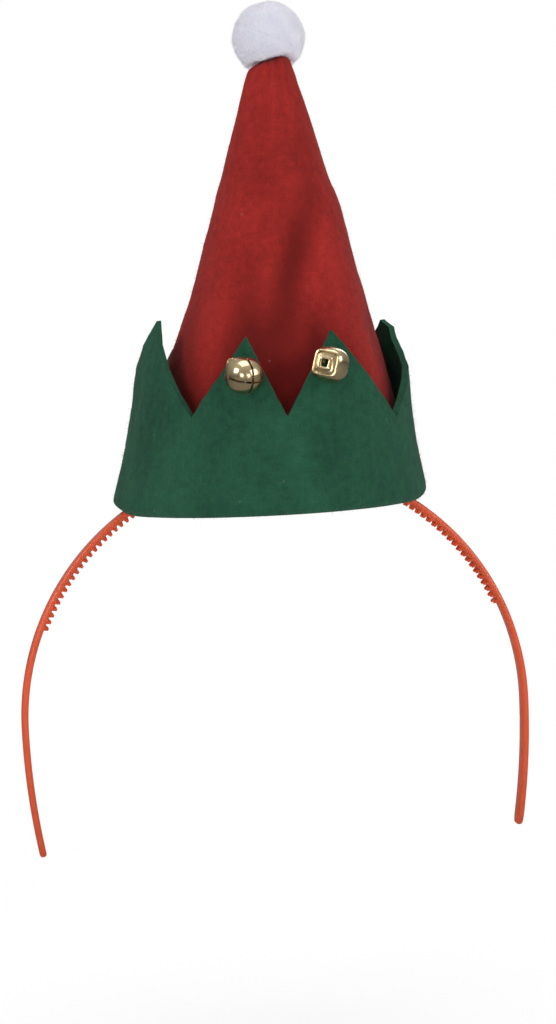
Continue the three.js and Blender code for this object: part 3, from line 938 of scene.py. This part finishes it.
def add_seam(piece, heights, look, slot, settings):
    """Stitches up the back of a felt piece, laid on its outer face."""
    tree = BVHTree.FromPolygons(
        [vertex.co for vertex in piece.data.vertices],
        [polygon.vertices for polygon in piece.data.polygons],
    )
    way = Vector((math.sin(STITCH_SIDE), -math.cos(STITCH_SIDE), 0))
    points = []
    for z in heights:
        hit, normal, _, _ = tree.ray_cast(hat_axis(z) + way * SEAM_FROM, -way)
        points.append(hit + normal * settings.stitch_thickness * STITCH_LIFT)
    line = bpy.data.meshes.new("seam_line")
    line.from_pydata(points, [(i, i + 1) for i in range(len(points) - 1)], [])
    base = new_object("seam_line", line)
    values = {
        "Pitch": settings.stitch_pitch,
        "Length": settings.stitch_length,
        "Thickness": settings.stitch_thickness,
    }
    dress(grown(piece.name + "_seam", base, "stitches", stitch_tree, look, values), slot)
    bpy.data.objects.remove(base)


def seam_dip(angle):
    """The groove along a back seam."""
    off = (angle % (2 * math.pi) - BACK) / GROOVE_WIDTH
    return -GROOVE_DEPTH * math.exp(-off * off)


class ELF_OT_cone(Operator):
    """Make the red felt cone with its fuzz and back seam"""

    bl_idname = "elf.cone"
    bl_label = "Cone"

    def execute(self, context):
        settings = context.scene.elf_felt
        low, high = BOXES["cone"]
        gather_from = high.z - GATHER_REACH

        def extra(angle, z):
            rise = max(0.0, (z - gather_from) / (high.z - gather_from))
            around = GATHERS * angle + DRIFT * math.sin(DRIFTS * angle)
            return settings.pucker * rise * math.cos(around) + seam_dip(angle)

        look = felt_look("red_felt", settings.red)
        piece = felt_piece("cone_felt", "cone", look, settings, extra, levels=2, cut_below=0)
        mark_shade_and_shadow(piece, settings)
        dress(piece, "red_felt", "cone")
        add_fuzz(piece, fuzz_look("red_fuzz", settings.red), "red_felt", settings)
        start, end, count = CONE_STITCHES
        heights = np.linspace(low.z + start, high.z - end, count)
        thread = thread_look("red_thread", settings.red)
        add_seam(piece, heights, thread, "red_felt", settings)
        return {"FINISHED"}


class ELF_OT_cuff(Operator):
    """Make the green felt cuff with its fuzz and back seam"""

    bl_idname = "elf.cuff"
    bl_label = "Cuff"

    def execute(self, context):
        settings = context.scene.elf_felt
        low = BOXES["cuff"][0]

        def extra(angle, z):
            return seam_dip(angle)

        look = felt_look("green_felt", settings.green)
        piece = felt_piece("cuff_felt", "cuff", look, settings, extra, levels=3, cut_below=1)
        dress(piece, "green_felt", "cuff")
        add_fuzz(piece, fuzz_look("green_fuzz", settings.green), "green_felt", settings)
        start, end, count = CUFF_STITCHES
        heights = np.linspace(low.z + start, low.z + end, count)
        thread = thread_look("green_thread", settings.green)
        add_seam(piece, heights, thread, "green_felt", settings)
        return {"FINISHED"}


# Bells
# Rows and columns of a shell's faces
SHELL_ROWS, SHELL_COLUMNS = 36, 64
# Power of a shell's outline from above at its middle, and how much the square base is trimmed
SHELL_POWER, BASE_TRIM = 2.3, 0.06
# Steps round a raised square, sides of its section and powers of the outlines
SQUARE_STEPS, SQUARE_SIDES, WIRE_POWER, SHANK_POWER, RIM_POWER = 64, 12, 3.2, 7, 6
# Length of the slots' cutters in shell radii, and radius of a slot's round end in slot widths
CUTTER, SLOT_END = 2.4, 0.8
# Share of the wall that its edges are rounded by, and the angle of an edge that is rounded
EDGE_ROUND, EDGE_ANGLE = 0.22, math.radians(42)
# The shell's flat base in radii, and how far the raised square sinks into it
BASE_LEVEL, RIM_SINK = 0.985, 0.0003
# The bell is smooth but for edges that turn by more than this
BELL_ANGLE = math.radians(40)
# Roughness of the polished shells and of the plain pellets
SHELL_ROUGHNESS, PELLET_ROUGHNESS = 0.16, 0.3
# A thread's steps, its rise over the shell, where it turns in and how far it goes on
TIE_STEPS, TIE_RISE, TIE_TURN, TIE_END = 24, 0.9, 0.8, 0.0014


def bell_pose(node):
    """Where a bell's solid sits: its middle, its slotted end along Z, its shank square."""
    work = welded(node)
    points = np.array([vertex.co for vertex in work.verts])
    work.free()
    sums = np.c_[2 * points, np.ones(len(points))]
    middle = np.linalg.lstsq(sums, (points**2).sum(1), rcond=None)[0][:3]
    corners = points[np.argsort(np.linalg.norm(points - middle, axis=1))[-4:]]
    shank = corners.mean(0)
    away = np.linalg.norm(corners - corners[0], axis=1)
    beside = corners[np.argsort(away)[1]]
    up = Vector(middle - shank).normalized()
    side = Vector((corners[0] + beside) / 2 - shank).normalized()
    return Matrix.Translation(middle) @ Matrix((side, up.cross(side), up)).transposed().to_4x4()


def bell_wall(settings, radius):
    """A closed shell whose base is flatter and squarer than its slotted end."""
    rings = []
    for row in range(1, SHELL_ROWS):
        rise = math.pi * (row / SHELL_ROWS - 0.5)
        base = max(0.0, -math.sin(rise))
        power = 2 + (settings.base_squareness - 2) * base
        out = superround(rise, power)
        across, z = radius * out * math.cos(rise), radius * out * math.sin(rise)
        ring = []
        for column in range(SHELL_COLUMNS):
            angle = 2 * math.pi * column / SHELL_COLUMNS
            wide = across * superround(angle, SHELL_POWER + base)
            wide /= 1 + BASE_TRIM * base
            ring.append((wide * math.cos(angle), wide * math.sin(angle), z))
        rings.append(ring)
    return swept(rings, False)


def block(size, centre):
    work = bmesh.new()
    placed = Matrix.Translation(centre) @ Matrix.Diagonal((*size, 1))
    bmesh.ops.create_cube(work, size=1, matrix=placed)
    return work


def square_ring(width, wire, height, z, power):
    """A raised square ring with round corners and a rounded section."""
    rings = []
    for i in range(SQUARE_STEPS):
        angle = 2 * math.pi * i / SQUARE_STEPS
        reach = superround(angle, power)
        out = Vector((math.cos(angle), math.sin(angle), 0)) * reach
        ring = []
        for k in range(SQUARE_SIDES):
            t = 2 * math.pi * k / SQUARE_SIDES
            bulge = superround(t, WIRE_POWER)
            across = (width - wire) / 2 + wire / 2 * bulge * math.cos(t)
            ring.append(out * across + Vector((0, 0, z + height / 2 * bulge * math.sin(t))))
        rings.append(ring)
    return swept(rings, True)


def bell_mesh(settings):
    """A stamped bell: a shell with crossed slots and a square shank on a raised square."""
    radius, reach = settings.radius, CUTTER * settings.radius
    inside = bell_wall(settings, radius - settings.wall)
    bmesh.ops.reverse_faces(inside, faces=inside.faces)
    shell = new_object("shell", to_mesh("shell", joined([bell_wall(settings, radius), inside])))
    top = settings.slot_start + radius / 2
    cuts = [
        block((settings.slot_width, reach, radius), (0, 0, top)),
        block((reach, settings.slot_width, radius), (0, 0, top)),
        block((settings.shank_hole, settings.shank_hole, radius), (0, 0, -radius)),
    ]
    for angle in (0, math.pi / 2):
        ends = bmesh.new()
        bmesh.ops.create_cone(
            ends,
            cap_ends=True,
            segments=16,
            radius1=settings.slot_width * SLOT_END,
            radius2=settings.slot_width * SLOT_END,
            depth=reach,
            matrix=Matrix.Translation((0, 0, settings.slot_start))
            @ Matrix.Rotation(angle, 4, "Z")
            @ Matrix.Rotation(math.pi / 2, 4, "X"),
        )
        cuts.append(ends)
    cutter = new_object("cutter", to_mesh("cutter", joined(cuts)))
    cut = shell.modifiers.new("cut", "BOOLEAN")
    cut.object, cut.operation, cut.use_self = cutter, "DIFFERENCE", True
    edge = shell.modifiers.new("edge", "BEVEL")
    edge.width, edge.segments = settings.wall * EDGE_ROUND, 2
    edge.limit_method, edge.angle_limit = "ANGLE", EDGE_ANGLE
    depsgraph = bpy.context.evaluated_depsgraph_get()
    opened = bpy.data.meshes.new_from_object(shell.evaluated_get(depsgraph))
    for used in (shell, cutter):
        bpy.data.objects.remove(used)
    body = bmesh.new()
    body.from_mesh(opened)
    base = -radius * BASE_LEVEL
    wire = (settings.shank_width - settings.shank_hole) / 2
    tall = settings.shank_height + settings.wall
    low = base - tall / 2 + settings.wall
    shank = square_ring(settings.shank_width, wire, tall, low, SHANK_POWER)
    thick = settings.rim_wire
    rim = square_ring(settings.rim_width, thick, thick, base + RIM_SINK, RIM_POWER)
    return to_mesh("bell", joined([body, shank, rim]), BELL_ANGLE)


def thread_tie(pose, settings, felt_way):
    """A thread from the bell's shank, round the shell's upper side and into the felt."""
    shank = pose.to_3x3() @ Vector((0, 0, -1))
    middle = pose.translation
    over = Vector((0, 0, 1))
    reach = settings.radius + settings.thread_thickness
    points = []
    for i in range(TIE_STEPS + 1):
        part = i / TIE_STEPS
        way = shank.lerp(felt_way, part) + over * TIE_RISE * math.sin(math.pi * part)
        far = reach + TIE_END * max(0.0, part - TIE_TURN) / (1 - TIE_TURN)
        points.append(middle + way.normalized() * far)
    return rod(points, settings.thread_thickness / 2)


class ELF_OT_bells(Operator):
    """Make the jingle bells, their pellets' finish and their threads"""

    bl_idname = "elf.bells"
    bl_label = "Bells"

    def execute(self, context):
        settings = context.scene.elf_bells
        brass = metal_look("bell_brass", settings.plating, SHELL_ROUGHNESS)
        steel = metal_look("pellet_steel", settings.pellet, PELLET_ROUGHNESS)
        thread = thread_look("bell_thread", settings.thread)
        ties = []
        for side in ("left", "right"):
            pose = bell_pose("bell_" + side)
            mesh = bell_mesh(settings)
            mesh.transform(pose)
            dress(new_object("bell_shell_" + side, mesh, brass), "bell_brass", "bell_" + side)
            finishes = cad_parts["pellet_" + side].data.materials
            finishes.clear()
            finishes.append(steel)
            inward = hat_axis(pose.translation.z) - pose.translation
            ties.append(thread_tie(pose, settings, inward.normalized()))
        mesh = to_mesh("bell_threads", joined(ties))
        dress(new_object("bell_threads", mesh, thread), "green_felt")
        return {"FINISHED"}


# Pompom
# Rounds of smoothing that take the locks and facets out of the core
CORE_ROUNDS = 26
# Yarn this near the cone has no strands, and over the next distance they reach their number
BARE, GROWING = 0.0008, 0.001


class ELF_OT_pompom(Operator):
    """Make the yarn pompom round its core"""

    bl_idname = "elf.pompom"
    bl_label = "Pompom"

    def execute(self, context):
        settings = context.scene.elf_pompom
        low, high = BOXES["pompom"]
        centre = (low + high) / 2
        radius = (high.x - low.x) / 2
        cone = welded("cone")
        tree = BVHTree.FromBMesh(cone)
        cone.free()
        work = relaxed(welded("pompom"), levels=1, rounds=CORE_ROUNDS)
        pile = []
        for vertex in work.verts:
            near = tree.find_nearest(vertex.co)[3]
            free = min(1.0, max(0.0, (near - BARE) / GROWING))
            pile.append(free)
            vertex.co += vertex.normal * settings.fullness * free
        look = yarn_look("white_yarn", centre, radius - settings.pile, radius, settings)
        core = new_object("pompom_core", to_mesh("pompom_core", work), look)
        core.data.attributes.new("pile", "FLOAT", "POINT").data.foreach_set("value", pile)
        values = {
            "Density": settings.density,
            "Length": settings.pile,
            "Thickness": settings.strand,
            "Lean": settings.lean,
            "Bend": settings.bend,
            "Seed": float(PILE_SEED),
        }
        strands = grown("pompom_pile", core, "fibres", fibre_tree, look, values)
        dress(core, "white_yarn", "pompom")
        dress(strands, "white_yarn")
        return {"FINISHED"}


# Stage
# The place of each square light, the length of its side and its power in watts
LIGHTS = {
    "key": ((-1.0, -0.55, 0.6), 0.5, 6.5),
    "fill": ((1.0, -0.6, 0.4), 0.5, 5.5),
    "front_left": ((-0.45, -1.15, 0.04), 0.3, 2.0),
    "front_right": ((0.45, -1.15, 0.04), 0.3, 1.8),
    "top": ((0.05, -0.1, 1.15), 0.8, 4.5),
    "back": ((0.2, 1.0, 0.5), 0.7, 4.0),
}
# The point in the hat that every light faces
LIT_POINT = Vector((0.003, 0, 0.02))


def area_light(name, where, side, power):
    lamp = bpy.data.lights.new(name, "AREA")
    lamp.shape, lamp.size, lamp.energy = "SQUARE", side, power
    made = bpy.data.objects.new(name, lamp)
    made.location = where
    made.rotation_euler = (LIT_POINT - Vector(where)).to_track_quat("-Z", "Y").to_euler()
    bpy.context.scene.collection.objects.link(made)


def white_world(ambient):
    """A white background that lights the object only softly, and more from above."""
    world = bpy.data.worlds.new("studio")
    world.use_nodes = True
    bpy.context.scene.world = world
    graph = Graph(world.node_tree)
    world.node_tree.nodes.clear()
    seen = graph.node("ShaderNodeBackground", None, {"Color": (1, 1, 1, 1), "Strength": 1.0})
    way = graph.node("ShaderNodeTexCoord", output="Generated")
    height = graph.node("ShaderNodeSeparateXYZ", None, {0: way}, "Z")
    glow = ambient * graph.spread(height, -0.3, 0.9, 0.3, 1.7)
    lit = graph.node("ShaderNodeBackground", None, {"Color": (1, 1, 1, 1), "Strength": glow})
    path = graph.node("ShaderNodeLightPath", output="Is Camera Ray")
    both = graph.node("ShaderNodeMixShader", None, {0: path, 1: lit, 2: seen})
    graph.node("ShaderNodeOutputWorld", None, {"Surface": both})


def floor_look(fade):
    """A pale floor that fades into the background away from the object."""
    made = bpy.data.materials.new("floor")
    made.use_nodes = True
    graph = Graph(made.node_tree)
    made.node_tree.nodes.clear()
    where = graph.where()
    away = graph.node("ShaderNodeVectorMath", {"operation": "LENGTH"}, {0: where}, "Value")
    seen = graph.node("ShaderNodeLightPath", output="Is Camera Ray")
    far = seen * graph.spread(away, 0.0, fade, 0.6, 1.0)
    mirrored = graph.node("ShaderNodeLightPath", output="Is Glossy Ray")
    pale = graph.mix(mirrored, (0.9, 0.9, 0.9, 1), (0.2, 0.2, 0.2, 1))
    near = graph.node("ShaderNodeBsdfDiffuse", None, {"Color": pale})
    white = graph.node("ShaderNodeEmission", None, {"Color": (1, 1, 1, 1), "Strength": 1.0})
    both = graph.node("ShaderNodeMixShader", None, {0: far, 1: near, 2: white})
    graph.node("ShaderNodeOutputMaterial", None, {"Surface": both})
    return made


class ELF_OT_stage(Operator):
    """Set the camera, the floor and the lights"""

    bl_idname = "elf.stage"
    bl_label = "Stage"

    def execute(self, context):
        stage = context.scene.elf_stage
        self.set_camera(context, stage)
        work = bmesh.new()
        bmesh.ops.create_circle(work, cap_ends=True, segments=96, radius=stage.floor_size)
        floor = new_object("floor", to_mesh("floor", work), floor_look(stage.floor_fade))
        floor.location.z = CAD_BOX[0].z - stage.floor_drop
        white_world(stage.ambient)
        for name, (where, side, power) in LIGHTS.items():
            area_light(name, where, side, power)
        context.scene.view_settings.view_transform = "Standard"
        return {"FINISHED"}

    def set_camera(self, context, stage):
        data = bpy.data.cameras.new("camera")
        data.lens, data.sensor_width = stage.lens, 36
        camera = bpy.data.objects.new("camera", data)
        context.scene.collection.objects.link(camera)
        context.scene.camera = camera
        a, e = stage.azimuth, stage.elevation
        back = Vector((math.sin(a) * math.cos(e), -math.cos(a) * math.cos(e), math.sin(e)))
        right = Vector((math.cos(a), math.sin(a), 0))
        up = back.cross(right)
        axes = Matrix((right, up, back)).transposed() @ Matrix.Rotation(-stage.roll, 3, "Z")
        stand = Vector(stage.target) + back * stage.distance
        camera.matrix_world = Matrix.Translation(stand) @ axes.to_4x4()


class ELF_PT_headband(Panel):
    """Lists the makers of the headband's pieces"""

    bl_label = "Elf Headband"
    bl_idname = "ELF_PT_headband"
    bl_space_type = "VIEW_3D"
    bl_region_type = "UI"
    bl_category = "Elf Headband"

    def draw(self, context):
        for operator in OPERATORS:
            self.layout.operator(operator.bl_idname)
        for name in SETTINGS:
            group = getattr(context.scene, name)
            box = self.layout.box()
            for setting in group.__annotations__:
                box.prop(group, setting)


OPERATORS = (ELF_OT_stage, ELF_OT_headband, ELF_OT_cone, ELF_OT_cuff, ELF_OT_bells, ELF_OT_pompom)
SETTINGS = {
    "elf_stage": StageSettings,
    "elf_band": BandSettings,
    "elf_felt": FeltSettings,
    "elf_bells": BellSettings,
    "elf_pompom": PompomSettings,
}


def register():
    for made in (*SETTINGS.values(), *OPERATORS, ELF_PT_headband):
        bpy.utils.register_class(made)
    for name, group in SETTINGS.items():
        setattr(bpy.types.Scene, name, PointerProperty(type=group))


def unregister():
    for name in SETTINGS:
        delattr(bpy.types.Scene, name)
    for made in (ELF_PT_headband, *OPERATORS, *SETTINGS.values()):
        bpy.utils.unregister_class(made)


def main():
    register()
    bpy.ops.elf.stage()
    bpy.ops.elf.headband()
    bpy.ops.elf.cone()
    bpy.ops.elf.cuff()
    bpy.ops.elf.bells()
    bpy.ops.elf.pompom()
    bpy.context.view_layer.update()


if __name__ == "__main__":
    main()
